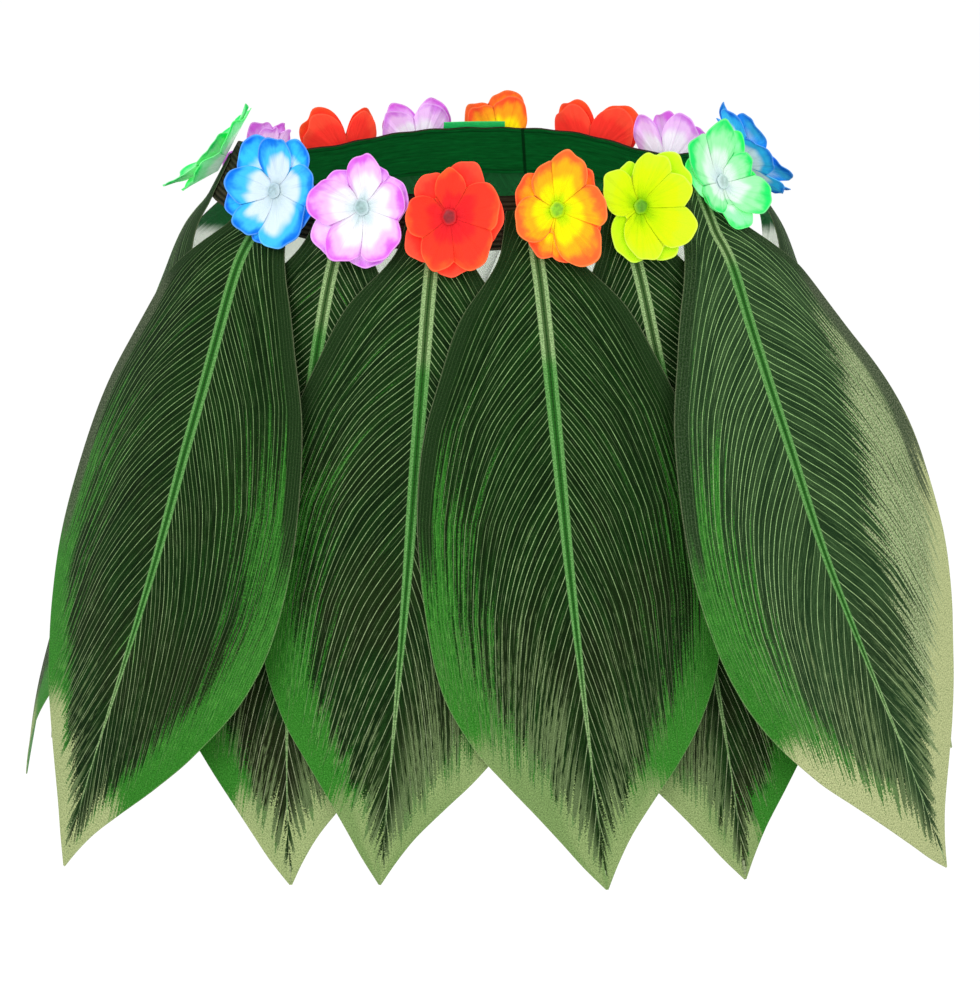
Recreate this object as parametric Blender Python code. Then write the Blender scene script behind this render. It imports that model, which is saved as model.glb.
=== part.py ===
"""Ti leaf skirt: fourteen printed cloth leaves and fourteen cloth flowers on an elastic waistband.

Metres, +Z up. The front faces -Y and the wearer's left is +X. The origin is the centre of the waistband.
Every cloth piece is a closed wall that follows one bell-shaped surface, some way out from it.
"""

from collections import namedtuple
from math import cos, degrees, exp, pi, radians, sin, sqrt, tau

import bmesh
import bpy
from mathutils import Vector

SEAM_GAP = 0.0003
CLOTH = 0.0010
BAND_WALL = 0.0016
BAND_HALF_HEIGHT = 0.0135
BAND_COLUMNS = 56
BAND_ROWS = 2

# The bell's level rings. drop is measured down from the waistband's middle.
Ring = namedtuple("Ring", "drop half_width half_depth squareness sway")
RINGS = (
    Ring(-0.0135, 0.133, 0.099, 2.00, 0.000),
    Ring(0.0135, 0.1475, 0.107, 2.00, 0.000),
    Ring(0.035, 0.159, 0.116, 2.02, 0.000),
    Ring(0.060, 0.168, 0.124, 2.08, 0.000),
    Ring(0.090, 0.180, 0.132, 2.18, 0.001),
    Ring(0.130, 0.194, 0.143, 2.32, 0.002),
    Ring(0.180, 0.209, 0.154, 2.45, 0.003),
    Ring(0.240, 0.228, 0.169, 2.50, 0.005),
    Ring(0.300, 0.244, 0.180, 2.50, 0.006),
    Ring(0.380, 0.253, 0.186, 2.50, 0.006),
)
SIDE_RISE = 0.012
SIDE_RISE_POWER = 8
# Where the elastic sags between its join and its sides: bearings and spreads are in degrees.
Sag = namedtuple("Sag", "bearing depth spread")
SAGS = (Sag(120, 0.012, 22), Sag(240, 0.009, 26))
SLOPE_STEP = 1e-4
SHARP_ANGLE = 40

# How far apart two neighbouring layers of leaves lie.
Spacing = namedtuple("Spacing", "drop gap")
LAYER_SPACING = (
    Spacing(0.0175, 0.0),
    Spacing(0.0245, 0.0017),
    Spacing(0.060, 0.0027),
    Spacing(0.120, 0.0037),
    Spacing(0.200, 0.0047),
    Spacing(0.400, 0.0060),
)

# A leaf's cut edge, as widths left and right of its midrib. down is measured from the band's lower edge.
Cut = namedtuple("Cut", "down left right")
LEAF_CUT = (
    Cut(-0.020, 0.0140, 0.0140),
    Cut(0.000, 0.0185, 0.0185),
    Cut(0.012, 0.0250, 0.0250),
    Cut(0.035, 0.0430, 0.0430),
    Cut(0.065, 0.0565, 0.0565),
    Cut(0.100, 0.0690, 0.0690),
    Cut(0.140, 0.0755, 0.0755),
    Cut(0.185, 0.0760, 0.0760),
    Cut(0.225, 0.0720, 0.0720),
    Cut(0.255, 0.0590, 0.0590),
    Cut(0.275, 0.0445, 0.0450),
    Cut(0.292, 0.0315, 0.0300),
    Cut(0.308, 0.0200, 0.0165),
    Cut(0.322, 0.0105, 0.0075),
    Cut(0.335, 0.0020, 0.0020),
)
LEAF_TOP = LEAF_CUT[0].down
LEAF_LENGTH = LEAF_CUT[-1].down
LEAF_WIDEST = 0.0760
LEAF_COLUMNS = 8
LEAF_ROWS = (
    -0.020, 0.000, 0.008, 0.018, 0.032, 0.055, 0.085, 0.120, 0.160, 0.200, 0.235, 0.265, 0.292, 0.314, 0.335,
)
MIDRIB_SUBSTEPS = 4
EDGE_CURL = 0.03
CURL_START = 0.020
CURL_FULL = 0.140
SKEW_END = 0.22
SKEW_START = 0.03
SLIM_START = 0.20
SLIM_FULL = 0.28

# bearing is the angle round the waist from the front, lean and bend turn the midrib sideways (degrees).
# layer counts outwards, size scales the cut, spread lifts the two long edges off the bell, skew widens
# the upper part to one side and slim narrows the tip.
Leaf = namedtuple("Leaf", "bearing lean bend layer size spread skew slim", defaults=(0, 0, 0))
LEAVES = (
    Leaf(-62.0, 10, -22, 3, 1.06, 0.008, -0.27, 0.17),
    Leaf(-39.5, -2, 6, 0, 1.00),
    Leaf(-14.0, -2, -3, 1, 0.98),
    Leaf(14.0, 3, 4, 2, 0.985),
    Leaf(39.5, 3, 3, 0, 1.005),
    Leaf(62.0, -10, 29, 3, 1.10, 0.016, 0.29, 0.17),
    Leaf(92.0, 2, 0, 1, 1.00),
    Leaf(126.0, -3, 3, 2, 1.00),
    Leaf(150.0, -1, 2, 0, 1.00),
    Leaf(177.0, 1, -2, 1, 1.00),
    Leaf(204.0, 0, 3, 2, 1.00),
    Leaf(227.0, -1, 1, 0, 1.00),
    Leaf(249.0, 1, -3, 1, 1.00),
    Leaf(270.0, 0, 2, 2, 1.02),
)

FLOWER_UP = 0.004
FLOWER_WIDTH = 0.0500
FLOWER_HEIGHT = 0.0600
PETAL_STEPS = 6
PETAL_HALF_ANGLE = 48
HEART_REACH = 0.42
HUB_SCALE = 0.30
BACK_RISE = 0.0070
FRONT_RISE = 0.0100
EYE_RADIUS = 0.0036
EYE_HEIGHT = 0.0018
EYE_SIDES = 10
# The eye's level rings, as shares of its radius and of its height.
EYE_PROFILE = ((1.0, 0.0), (1.0, 0.35), (0.72, 0.80))

# A layer's petals, each as its direction clockwise from the top, in degrees, and its share of full reach.
EVEN_PETALS = ((12, 1.00), (84, 0.94), (156, 1.03), (228, 0.96), (300, 1.02))
TURNED_PETALS = ((46, 1.00), (118, 0.94), (190, 0.96), (262, 0.96), (334, 1.02))

# One flower on each leaf's top. bearing is the angle round the waist from the front and up shifts the
# flower along the band. The petals stand out more towards one direction, by the share lean. front and
# back are the two petal layers.
Flower = namedtuple("Flower", "colour bearing up lean towards front back")
FLOWERS = (
    Flower(
        "blue", -59.5, 0.0005, 0.9, 270,
        ((350, 0.90), (76, 1.08), (126, 1.28), (192, 0.90), (262, 0.86)),
        ((27, 1.02), (98, 1.20), (164, 0.96), (243, 0.98), (307, 1.06)),
    ),
    Flower(
        "pink", -34.5, 0.001, 0.6, 270,
        ((4, 0.90), (83, 1.00), (132, 1.16), (194, 1.02), (272, 0.98)),
        ((30, 0.82), (76, 1.04), (156, 1.12), (223, 1.08), (304, 0.84)),
    ),
    Flower(
        "red", -10.0, -0.0015, 0.1, 270,
        ((3, 0.80), (78, 1.10), (134, 1.12), (196, 0.96), (268, 0.88)),
        ((30, 1.04), (92, 1.14), (170, 1.06), (230, 1.02), (319, 0.88)),
    ),
    Flower(
        "orange", 20.5, 0.0015, 0.3, 90,
        ((19, 1.00), (91, 0.96), (148, 1.12), (254, 0.98), (338, 0.84)),
        ((53, 0.92), (120, 0.94), (172, 0.92), (214, 0.92), (296, 0.94)),
    ),
    Flower(
        "lime", 43.5, -0.0005, 0.6, 90,
        ((26, 0.93), (76, 0.93), (132, 1.03), (197, 1.00), (300, 0.98)),
        ((58, 1.16), (110, 0.80), (163, 1.02), (219, 1.08), (340, 0.80)),
    ),
    Flower(
        "green", 68.5, -0.001, 0.9, 90,
        ((10, 1.00), (80, 0.70), (140, 0.92), (250, 0.80), (320, 1.10)),
        ((40, 0.96), (110, 0.76), (190, 0.92), (255, 0.76), (298, 1.02)),
    ),
    Flower("blue", 97.0, -0.001, 0.5, 200, EVEN_PETALS, TURNED_PETALS),
    Flower(
        "pink", 124.5, 0.001, 0.0, 0,
        ((8, 0.96), (80, 1.00), (150, 1.00), (220, 1.00), (300, 1.00)),
        ((54, 1.15), (126, 1.00), (196, 1.00), (262, 0.96), (322, 1.12)),
    ),
    Flower(
        "red", 148.5, -0.006, 0.0, 0,
        ((42, 1.14), (114, 0.95), (180, 0.98), (246, 0.96), (315, 1.22)),
        ((46, 1.12), (118, 0.95), (184, 0.98), (250, 0.96), (319, 1.18)),
    ),
    Flower(
        "orange", 174.5, -0.005, 0.0, 0,
        ((49, 1.04), (120, 0.96), (192, 1.00), (264, 0.80), (354, 1.06)),
        ((42, 1.00), (112, 0.94), (184, 1.00), (256, 0.80), (347, 1.02)),
    ),
    Flower(
        "pink", 200.5, -0.006, 0.0, 0,
        ((36, 1.00), (108, 0.95), (180, 0.98), (250, 0.95), (322, 1.06)),
        ((42, 0.98), (114, 0.95), (186, 0.98), (256, 0.95), (328, 1.02)),
    ),
    Flower(
        "red", 222.0, -0.002, 0.0, 0,
        ((44, 1.14), (115, 0.95), (180, 1.00), (246, 0.95), (309, 1.02)),
        ((48, 1.12), (119, 0.95), (184, 1.00), (250, 0.95), (313, 0.99)),
    ),
    Flower(
        "pink", 246.0, -0.003, 0.0, 0,
        ((34, 0.88), (100, 0.90), (170, 1.00), (250, 1.00), (336, 0.84)),
        ((20, 0.80), (86, 0.90), (156, 1.00), (236, 1.00), (322, 0.84)),
    ),
    Flower("green", 270.0, 0.001, 1.0, 175, EVEN_PETALS, TURNED_PETALS),
)

TAPE_BEARING = 183.5
TAPE_WIDTH = 0.034
TAPE_HEIGHT = 0.010
TAPE_PROUD = 0.004
TAPE_COLUMNS = 6

# Linear colours, roughness and metallic of each material.
Finish = namedtuple("Finish", "colour roughness metallic")
FINISHES = {
    "band_satin": Finish((0.004, 0.050, 0.018), 0.45, 0.0),
    "tape_satin": Finish((0.010, 0.300, 0.080), 0.45, 0.0),
    "leaf_cloth": Finish((0.020, 0.080, 0.018), 0.60, 0.0),
    "petal_blue": Finish((0.020, 0.350, 0.900), 0.60, 0.0),
    "petal_pink": Finish((0.780, 0.350, 0.800), 0.60, 0.0),
    "petal_red": Finish((0.880, 0.035, 0.015), 0.60, 0.0),
    "petal_orange": Finish((0.950, 0.330, 0.010), 0.60, 0.0),
    "petal_lime": Finish((0.650, 0.900, 0.005), 0.60, 0.0),
    "petal_green": Finish((0.120, 0.880, 0.200), 0.60, 0.0),
    "eye_plastic": Finish((0.250, 0.380, 0.400), 0.30, 0.0),
}


def remove_everything():
    for thing in list(bpy.data.objects):
        bpy.data.objects.remove(thing)


def make_material(name):
    finish = FINISHES[name]
    material = bpy.data.materials.new(name)
    material.use_nodes = True
    shader = material.node_tree.nodes["Principled BSDF"]
    shader.inputs["Base Color"].default_value = (*finish.colour, 1.0)
    shader.inputs["Roughness"].default_value = finish.roughness
    shader.inputs["Metallic"].default_value = finish.metallic
    return material


def read_table(rows, column, place):
    """A smooth value of one column at a place along the table's first column."""
    places = [row[0] for row in rows]
    values = [getattr(row, column) for row in rows]
    last = len(rows) - 1
    slopes = []
    for i in range(last + 1):
        before, after = max(i - 1, 0), min(i + 1, last)
        slopes.append((values[after] - values[before]) / (places[after] - places[before]))
    if place <= places[0]:
        return values[0] + slopes[0] * (place - places[0])
    if place >= places[last]:
        return values[last] + slopes[last] * (place - places[last])
    i = max(k for k in range(last) if places[k] <= place)
    width = places[i + 1] - places[i]
    t = (place - places[i]) / width
    start = values[i] * (2 * t**3 - 3 * t**2 + 1) + slopes[i] * width * (t**3 - 2 * t**2 + t)
    end = values[i + 1] * (3 * t**2 - 2 * t**3) + slopes[i + 1] * width * (t**3 - t**2)
    return start + end


def read_line(rows, column, place):
    """A straight-line value of one column, held level past both ends."""
    if place <= rows[0][0]:
        return getattr(rows[0], column)
    for low, high in zip(rows, rows[1:]):
        if place <= high[0]:
            share = (place - low[0]) / (high[0] - low[0])
            return getattr(low, column) * (1 - share) + getattr(high, column) * share
    return getattr(rows[-1], column)


def clamp(value):
    return min(1.0, max(0.0, value))


def bell_point(bearing, drop):
    """A point of the bell, at an angle round the waist and a drop below the waistband's middle."""
    half_width = read_table(RINGS, "half_width", drop)
    half_depth = read_table(RINGS, "half_depth", drop)
    power = read_table(RINGS, "squareness", drop)
    across, ahead = sin(bearing), cos(bearing)
    reach = ((abs(across) / half_width) ** power + (abs(ahead) / half_depth) ** power) ** (-1 / power)
    rise = SIDE_RISE * across**SIDE_RISE_POWER
    for sag in SAGS:
        away = (degrees(bearing) - sag.bearing + 180) % 360 - 180
        rise -= sag.depth * exp(-((away / sag.spread) ** 2))
    sway = read_table(RINGS, "sway", drop)
    return Vector((reach * across + sway, -reach * ahead, rise - drop))


def bell_slopes(bearing, drop):
    """How far the bell's surface moves for each radian of bearing and each metre of drop."""
    around = bell_point(bearing + SLOPE_STEP, drop) - bell_point(bearing - SLOPE_STEP, drop)
    down = bell_point(bearing, drop + SLOPE_STEP) - bell_point(bearing, drop - SLOPE_STEP)
    return around / (2 * SLOPE_STEP), down / (2 * SLOPE_STEP)


def bell_normal(bearing, drop):
    around, down = bell_slopes(bearing, drop)
    return down.cross(around).normalized()


def off_bell(bearing, drop, out):
    return bell_point(bearing, drop) + bell_normal(bearing, drop) * out


def walk(bearing, drop, across, down):
    """Moves over the bell by true lengths, across and down, and gives the new bearing and drop."""
    around, fall = bell_slopes(bearing, drop)
    slant = around.dot(fall) / around.length_squared
    fallen = down / (fall - around * slant).length
    return bearing + across / around.length - fallen * slant, drop + fallen


def link_mesh(name, points, faces, material):
    mesh = bpy.data.meshes.new(name)
    mesh.from_pydata(points, [], faces)
    mesh.materials.append(material)
    shape = bmesh.new()
    shape.from_mesh(mesh)
    bmesh.ops.recalc_face_normals(shape, faces=shape.faces)
    shape.to_mesh(mesh)
    shape.free()
    mesh.shade_smooth()
    mesh.set_sharp_from_angle(angle=radians(SHARP_ANGLE))
    thing = bpy.data.objects.new(name, mesh)
    bpy.context.scene.collection.objects.link(thing)
    return thing


def sheet_faces(columns, rows, closed):
    """Faces of a wall made of an outer and an inner grid, rows of columns + 1 points (columns if closed)."""
    width = columns if closed else columns + 1
    inner = width * (rows + 1)
    faces = []
    for row in range(rows):
        for column in range(columns):
            a = row * width + column
            b = row * width + (column + 1) % width
            faces.append((a, b, b + width, a + width))
            faces.append((inner + a, inner + a + width, inner + b + width, inner + b))
    for column in range(columns):
        a, b = column, (column + 1) % width
        faces.append((a, inner + a, inner + b, b))
        c, d = rows * width + a, rows * width + b
        faces.append((c, d, inner + d, inner + c))
    if not closed:
        for row in range(rows):
            a, b = row * width, (row + 1) * width
            faces.append((a, b, inner + b, inner + a))
            c, d = a + columns, b + columns
            faces.append((c, inner + c, inner + d, d))
    return faces


def make_waistband(material):
    points = []
    for out in (0.0, -BAND_WALL):
        for row in range(BAND_ROWS + 1):
            drop = -BAND_HALF_HEIGHT + 2 * BAND_HALF_HEIGHT * row / BAND_ROWS
            for column in range(BAND_COLUMNS):
                points.append(off_bell(tau * column / BAND_COLUMNS, drop, out))
    return link_mesh("waistband", points, sheet_faces(BAND_COLUMNS, BAND_ROWS, True), material)


def make_joining_tape(material):
    """The short tape over the band's join at the back, standing a little above the band's top edge."""
    top = -BAND_HALF_HEIGHT - TAPE_PROUD
    bearing = radians(TAPE_BEARING)
    half_turn = TAPE_WIDTH / 2 / bell_slopes(bearing, top)[0].length
    points = []
    for out in (SEAM_GAP + CLOTH, SEAM_GAP):
        for row in range(2):
            for column in range(TAPE_COLUMNS + 1):
                turn = half_turn * (2 * column / TAPE_COLUMNS - 1)
                points.append(off_bell(bearing + turn, top + TAPE_HEIGHT * row, out))
    return link_mesh("joining_tape", points, sheet_faces(TAPE_COLUMNS, 1, False), material)


def midrib(leaf):
    """The leaf's midrib over the bell, as a list of (down, bearing, drop, tilt) for each row."""
    bearing, drop = radians(leaf.bearing), BAND_HALF_HEIGHT
    stations = [(LEAF_TOP, bearing, drop + LEAF_TOP, radians(leaf.lean))]
    for before, after in zip((0.0,) + LEAF_ROWS[1:], LEAF_ROWS[1:]):
        for step in range(MIDRIB_SUBSTEPS):
            middle = before + (after - before) * (step + 0.5) / MIDRIB_SUBSTEPS
            tilt = radians(leaf.lean + leaf.bend * middle / LEAF_LENGTH)
            length = (after - before) * leaf.size / MIDRIB_SUBSTEPS
            bearing, drop = walk(bearing, drop, length * sin(tilt), length * cos(tilt))
        stations.append((after, bearing, drop, radians(leaf.lean + leaf.bend * after / LEAF_LENGTH)))
    return stations


def leaf_width(leaf, down, side):
    size = leaf.size if down > 0 else 1.0
    size *= 1 - leaf.slim * clamp((down - SLIM_START) / (SLIM_FULL - SLIM_START))
    skew = leaf.skew * clamp(1 - down / SKEW_END) * clamp(down / SKEW_START)
    if side < 0:
        return read_table(LEAF_CUT, "left", down) * size * (1 - skew)
    return read_table(LEAF_CUT, "right", down) * size * (1 + skew)


def leaf_out(leaf, down, across, drop):
    """How far the leaf's inner face lies out from the bell."""
    spread = clamp((down - CURL_START) / (CURL_FULL - CURL_START))
    lift = leaf.spread * (across / LEAF_WIDEST) ** 2 - EDGE_CURL * abs(across)
    return SEAM_GAP + leaf.layer * read_line(LAYER_SPACING, "gap", drop) + spread * lift


def make_leaf(name, leaf, material):
    outer, inner = [], []
    half = LEAF_COLUMNS // 2
    for down, rib_bearing, rib_drop, tilt in midrib(leaf):
        line = {}
        for side in (-1, 1):
            bearing, drop = rib_bearing, rib_drop
            step = side * leaf_width(leaf, down, side) / half
            for column in range(half + 1):
                out = leaf_out(leaf, down, step * column, drop)
                place = bell_point(bearing, drop)
                normal = bell_normal(bearing, drop)
                line[side * column] = (place + normal * (out + CLOTH), place + normal * out)
                bearing, drop = walk(bearing, drop, step * cos(tilt), -step * sin(tilt))
        for column in range(-half, half + 1):
            outer.append(line[column][0])
            inner.append(line[column][1])
    faces = sheet_faces(LEAF_COLUMNS, len(LEAF_ROWS) - 1, False)
    return link_mesh(name, outer + inner, faces, material)


def flower_frame(bearing, up):
    """The flower's seat on the band: its centre, and its side, up and outward directions."""
    drop = -FLOWER_UP - up
    around, down = bell_slopes(bearing, drop)
    outward = down.cross(around).normalized()
    side = around.normalized()
    return bell_point(bearing, drop), side, outward.cross(side), outward


def petal_turns(petals):
    """The directions of a layer's edge points, so that one falls on each petal's tip."""
    turns = []
    for (towards, _), (after, _) in zip(petals, petals[1:] + petals[:1]):
        gap = (after - towards) % 360
        turns += [towards + gap * step / PETAL_STEPS for step in range(PETAL_STEPS)]
    return turns


def petal_reach(turn, petals):
    """The share of full reach that a layer has in a direction, with round petals and notches."""
    reach = HEART_REACH
    for towards, longest in petals:
        away = (turn - towards + 180) % 360 - 180
        if abs(away) < PETAL_HALF_ANGLE:
            reach = max(reach, longest * sqrt(cos(pi / 2 * away / PETAL_HALF_ANGLE)))
    return reach


def make_petals(name, flower, petals, rise, seat, material):
    centre, side, up, outward = flower_frame(radians(flower.bearing), flower.up)
    turns = petal_turns(petals)
    sides = len(turns)
    points = []
    for face in (CLOTH, 0.0):
        points.append(centre + outward * (seat + face))
        for hub in (True, False):
            for turn in turns:
                reach = HUB_SCALE if hub else petal_reach(turn, petals)
                angle = radians(turn)
                flat = Vector((FLOWER_WIDTH / 2 * sin(angle), FLOWER_HEIGHT / 2 * cos(angle), 0))
                stand = 1 + flower.lean * cos(radians(turn - flower.towards))
                slope = 0 if hub else rise * stand / (1 - HUB_SCALE)
                square = Vector((0, 0, 1)) - flat.normalized() * slope / flat.length
                place = flat * reach + Vector((0, 0, slope * (reach - HUB_SCALE))) + square.normalized() * face
                points.append(centre + side * place.x + up * place.y + outward * (seat + place.z))
    layer = 1 + 2 * sides
    faces = []
    for base in (0, layer):
        for step in range(sides):
            after = (step + 1) % sides
            a, b = base + 1 + step, base + 1 + after
            faces.append((base, a, b) if base == 0 else (base, b, a))
            faces.append((a, a + sides, b + sides, b) if base == 0 else (a, b, b + sides, a + sides))
    for step in range(sides):
        a, b = 1 + sides + step, 1 + sides + (step + 1) % sides
        faces.append((a, layer + a, layer + b, b))
    return link_mesh(name, points, faces, material)


def make_eye(name, flower, seat, material):
    """The small domed plastic cap that holds the two petal layers together."""
    centre, side, up, outward = flower_frame(radians(flower.bearing), flower.up)
    points = []
    for radius, height in EYE_PROFILE:
        for step in range(EYE_SIDES):
            turn = tau * step / EYE_SIDES
            flat = side * cos(turn) + up * sin(turn)
            points.append(centre + flat * EYE_RADIUS * radius + outward * (seat + EYE_HEIGHT * height))
    points.append(centre + outward * seat)
    points.append(centre + outward * (seat + EYE_HEIGHT))
    bottom, top = len(points) - 2, len(points) - 1
    faces = []
    for step in range(EYE_SIDES):
        after = (step + 1) % EYE_SIDES
        faces.append((bottom, after, step))
        for level in range(len(EYE_PROFILE) - 1):
            a, b = level * EYE_SIDES + step, level * EYE_SIDES + after
            faces.append((a, b, b + EYE_SIDES, a + EYE_SIDES))
        rim = (len(EYE_PROFILE) - 1) * EYE_SIDES
        faces.append((rim + step, rim + after, top))
    return link_mesh(name, points, faces, material)


def make_flower(name, flower, materials):
    petals = materials["petal_" + flower.colour]
    back_seat = 2 * SEAM_GAP + CLOTH
    front_seat = back_seat + CLOTH + SEAM_GAP
    eye_seat = front_seat + CLOTH + SEAM_GAP
    make_petals(name + "_back", flower, flower.back, BACK_RISE, back_seat, petals)
    make_petals(name + "_front", flower, flower.front, FRONT_RISE, front_seat, petals)
    make_eye(name + "_eye", flower, eye_seat, materials["eye_plastic"])


def main():
    remove_everything()
    materials = {name: make_material(name) for name in FINISHES}
    make_waistband(materials["band_satin"])
    make_joining_tape(materials["tape_satin"])
    for number, (leaf, flower) in enumerate(zip(LEAVES, FLOWERS), start=1):
        make_leaf(f"leaf_{number:02d}", leaf, materials["leaf_cloth"])
        make_flower(f"flower_{number:02d}", flower, materials)


main()
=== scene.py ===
"""Ti leaf skirt: printed cloth leaves and cloth flowers on an elastic waistband, with no wearer."""

from collections import namedtuple
from math import cos, pi, radians, sin, sqrt, tau

import bpy
import numpy as np
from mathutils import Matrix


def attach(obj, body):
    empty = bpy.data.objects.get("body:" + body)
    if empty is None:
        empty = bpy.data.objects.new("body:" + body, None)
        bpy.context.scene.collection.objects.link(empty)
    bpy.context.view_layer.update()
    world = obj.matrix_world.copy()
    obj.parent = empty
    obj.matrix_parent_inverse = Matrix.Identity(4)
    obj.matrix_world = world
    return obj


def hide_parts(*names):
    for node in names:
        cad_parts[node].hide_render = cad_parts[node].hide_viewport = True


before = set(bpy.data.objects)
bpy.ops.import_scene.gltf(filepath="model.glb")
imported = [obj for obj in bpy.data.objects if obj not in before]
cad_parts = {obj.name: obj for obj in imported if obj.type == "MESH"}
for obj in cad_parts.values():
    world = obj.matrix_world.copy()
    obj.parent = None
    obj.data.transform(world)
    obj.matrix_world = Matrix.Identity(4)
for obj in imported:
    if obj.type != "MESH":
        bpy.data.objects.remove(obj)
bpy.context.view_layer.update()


# ---- Waistband ----
# A loop of elastic ribbon, satin inside and ribbed outside, joined at the back. The leaves and
# flowers are glued and stitched to its outer face. It keeps the round shape of a waist, and the
# whole skirt hangs from it as one bell, so its rings also give the surface that the leaves follow.

BAND_HALF_HEIGHT = 0.0135
BAND_WALL = 0.0016
SIDE_RISE = 0.012
SIDE_RISE_POWER = 8
SLOPE_STEP = 1e-4
BAND_COLUMNS = 180
BAND_ROWS = 10
BAND_SEAM_BEARING = 167.8
BAND_RIBS = 11
PUCKER = 0.00022
PUCKERS = 31

# Where the elastic sags between its join and its sides. Bearings and spreads are in degrees, and
# bearings run from the front towards the right as the camera sees it.
Sag = namedtuple("Sag", "bearing depth spread")
SAGS = (Sag(120, 0.012, 22), Sag(240, 0.009, 26))

# The bell's level rings, by their drop below the waistband's middle. Their outline is an ellipse at
# a squareness of 2, and fuller above it, and sway moves them sideways.
Ring = namedtuple("Ring", "drop half_width half_depth squareness sway")
RINGS = (
    Ring(-0.0135, 0.133, 0.099, 2.00, 0.000),
    Ring(0.0135, 0.1475, 0.107, 2.00, 0.000),
    Ring(0.035, 0.159, 0.116, 2.02, 0.000),
    Ring(0.060, 0.168, 0.124, 2.08, 0.000),
    Ring(0.090, 0.180, 0.132, 2.18, 0.001),
    Ring(0.130, 0.194, 0.143, 2.32, 0.002),
    Ring(0.180, 0.209, 0.154, 2.45, 0.003),
    Ring(0.240, 0.228, 0.169, 2.50, 0.005),
    Ring(0.300, 0.244, 0.180, 2.50, 0.006),
    Ring(0.380, 0.253, 0.186, 2.50, 0.006),
)


def read_table(rows, place):
    """Smooth values of all the columns of a table, at places along its first column."""
    table = np.array(rows, float)
    places, values = table[:, 0], table[:, 1:]
    before = np.maximum(np.arange(len(rows)) - 1, 0)
    after = np.minimum(np.arange(len(rows)) + 1, len(rows) - 1)
    slopes = (values[after] - values[before]) / (places[after] - places[before])[:, None]
    place = np.atleast_1d(np.asarray(place, float))
    inside = np.clip(place, places[0], places[-1])
    i = np.clip(np.searchsorted(places, inside, side="right") - 1, 0, len(rows) - 2)
    width = (places[i + 1] - places[i])[:, None]
    t = (inside - places[i])[:, None] / width
    start = values[i] * (2 * t**3 - 3 * t**2 + 1) + slopes[i] * width * (t**3 - 2 * t**2 + t)
    end = values[i + 1] * (3 * t**2 - 2 * t**3) + slopes[i + 1] * width * (t**3 - t**2)
    past = (place - inside)[:, None] * np.where(place[:, None] < inside[:, None], slopes[0], slopes[-1])
    return (start + end + past).T


def bell_point(bearing, drop):
    """Points of the bell, at angles round the waist and drops below the waistband's middle."""
    bearing, drop = np.broadcast_arrays(np.atleast_1d(bearing), np.atleast_1d(drop))
    half_width, half_depth, power, sway = read_table(RINGS, drop)
    across, ahead = np.sin(bearing), np.cos(bearing)
    reach = ((abs(across) / half_width) ** power + (abs(ahead) / half_depth) ** power) ** (-1 / power)
    height = SIDE_RISE * across**SIDE_RISE_POWER - drop
    for sag in SAGS:
        away = (np.degrees(bearing) - sag.bearing + 180) % 360 - 180
        height = height - sag.depth * np.exp(-((away / sag.spread) ** 2))
    return np.stack((reach * across + sway, -reach * ahead, height), axis=-1)


def bell_slopes(bearing, drop):
    """How the bell's points move with bearing and with drop."""
    around = bell_point(bearing + SLOPE_STEP, drop) - bell_point(bearing - SLOPE_STEP, drop)
    down = bell_point(bearing, drop + SLOPE_STEP) - bell_point(bearing, drop - SLOPE_STEP)
    return around / (2 * SLOPE_STEP), down / (2 * SLOPE_STEP)


def unit(vectors):
    return vectors / np.linalg.norm(vectors, axis=-1, keepdims=True)


def off_bell(bearing, drop, out):
    """Points some way out from the bell, square to it."""
    around, down = bell_slopes(bearing, drop)
    return bell_point(bearing, drop) + unit(np.cross(down, around)) * np.reshape(out, (-1, 1))


def make_sheet(name, columns, rows):
    """A flat grid, ready to be laid in place. Its UV map runs 0 to 1 across and 1 to 0 down."""
    bpy.ops.object.select_all(action="DESELECT")
    bpy.ops.mesh.primitive_grid_add(x_subdivisions=columns, y_subdivisions=rows, size=2)
    sheet = bpy.context.object
    sheet.name = sheet.data.name = name
    return sheet


def lay_sheet(sheet, places, wall, outward=0.0, closed=False):
    """Moves a grid's points, listed from its lower left corner, and thickens it to a cloth wall."""
    sheet.data.vertices.foreach_set("co", np.asarray(places, np.float32).ravel())
    if closed:
        bpy.ops.object.mode_set(mode="EDIT")
        bpy.ops.mesh.select_all(action="SELECT")
        bpy.ops.mesh.remove_doubles(threshold=1e-6)
        bpy.ops.object.mode_set(mode="OBJECT")
    thick = sheet.modifiers.new("Wall", "SOLIDIFY")
    thick.thickness = wall
    thick.offset = outward
    thick.material_offset = 1
    bpy.ops.object.modifier_apply(modifier=thick.name)
    bpy.ops.object.shade_smooth_by_angle(angle=radians(35))


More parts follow.
